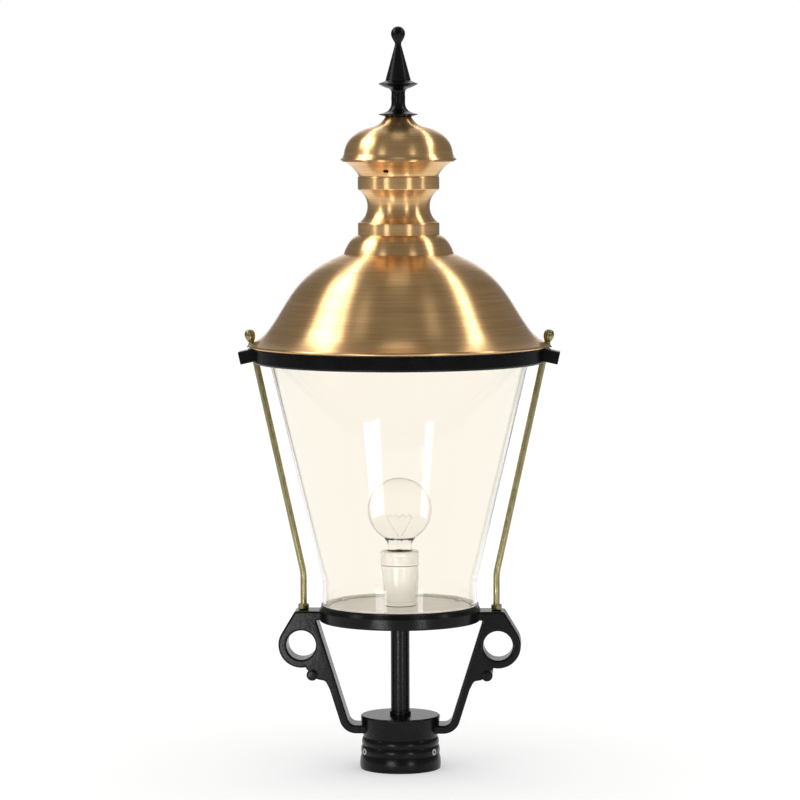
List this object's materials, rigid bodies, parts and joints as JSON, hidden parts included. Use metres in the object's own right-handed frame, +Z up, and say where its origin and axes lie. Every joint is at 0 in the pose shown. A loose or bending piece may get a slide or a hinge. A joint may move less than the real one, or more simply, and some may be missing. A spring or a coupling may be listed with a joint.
{
  "type": "post top lantern",
  "caption": "Post top garden lantern: spun copper hood with finial, tapered clear glass and a black cast yoke with ring handles on a post collar.",
  "frame": {"origin": "centre of the post collar's mouth, where the lantern slides down over its post", "axes": "+Z up along the post and the lantern's axis; the yoke arms and rods lie along X; the side seen in the picture faces -Y"},
  "size_m": [0.4006, 0.3726, 0.9254],
  "materials": {
    "black_paint": "gloss",
    "copper": "spun, brushed and lacquered",
    "brass": "bright",
    "zinc_steel": "zinc plated",
    "white_plate": "satin",
    "porcelain": "glazed",
    "clear_glass": "clear",
    "bulb_glass": "clear",
    "gasket_rubber": "matt"
  },
  "bodies": {
    "frame": {"post_collar": "black_paint", "stem_tube": "black_paint", "stem_foot_ring": "black_paint", "stem_locknut": "black_paint", "stem_top_nut": "zinc_steel", "yoke_arm_right": "black_paint", "yoke_arm_left": "black_paint", "seat_ring": "black_paint", "base_plate": "white_plate", "base_plate_screws": "zinc_steel", "glass_foot_gasket": "gasket_rubber", "glass_body": "clear_glass", "glass_rim_gasket": "gasket_rubber", "top_ring": "black_paint", "rod_right": "brass", "rod_left": "brass", "lug_washers": "zinc_steel", "rod_foot_nuts": "brass", "holder_base": "porcelain", "holder_body": "porcelain", "holder_ring": "porcelain", "holder_screw_shell": "brass", "holder_contact": "brass"},
    "hood": {"hood_gasket": "gasket_rubber", "rim_stiffener": "copper", "hood_shell": "copper", "hood_bushes": "brass", "thumb_washers": "brass", "hood_shoulder": "copper", "chimney_neck": "copper", "cap_skirt": "copper", "cap_dome": "copper", "finial": "black_paint", "tie_rod": "zinc_steel", "bridge_bar": "zinc_steel", "tie_nut": "zinc_steel"},
    "bulb": {"bulb_cap": "zinc_steel", "bulb_tip": "zinc_steel", "bulb_globe": "bulb_glass", "bulb_mount": "bulb_glass", "bulb_filament": "zinc_steel"},
    "thumb_right": {"thumb_screw_right": "brass"},
    "thumb_left": {"thumb_screw_left": "brass"},
    "set_rear": {"set_screw_rear": "zinc_steel"},
    "set_left": {"set_screw_left": "zinc_steel"},
    "set_right": {"set_screw_right": "zinc_steel"}
  },
  "joints": [
    {"name": "hood_lift", "type": "slide", "parent": "frame", "child": "hood", "axis": [0, 0, 1], "range_m": [0, 0.15]},
    {"name": "thumb_turn_right", "type": "hinge", "parent": "hood", "child": "thumb_right", "pos_m": [0.1826, 0, 0.5272], "axis": [0.2141, 0, 0.9768], "continuous": true},
    {"name": "thumb_turn_left", "type": "hinge", "parent": "hood", "child": "thumb_left", "pos_m": [-0.1826, 0, 0.5272], "axis": [-0.2141, 0, 0.9768], "continuous": true},
    {"name": "bulb_unscrew", "type": "slide", "parent": "frame", "child": "bulb", "axis": [0, 0, 1], "range_m": [0, 0.03]},
    {"name": "set_screw_rear_travel", "type": "slide", "parent": "frame", "child": "set_rear", "axis": [0, 1, 0], "range_m": [-0.0007, 0.005]},
    {"name": "set_screw_left_travel", "type": "slide", "parent": "frame", "child": "set_left", "axis": [-0.866, -0.5, 0], "range_m": [-0.0007, 0.005]},
    {"name": "set_screw_right_travel", "type": "slide", "parent": "frame", "child": "set_right", "axis": [0.866, -0.5, 0], "range_m": [-0.0007, 0.005]}
  ]
}
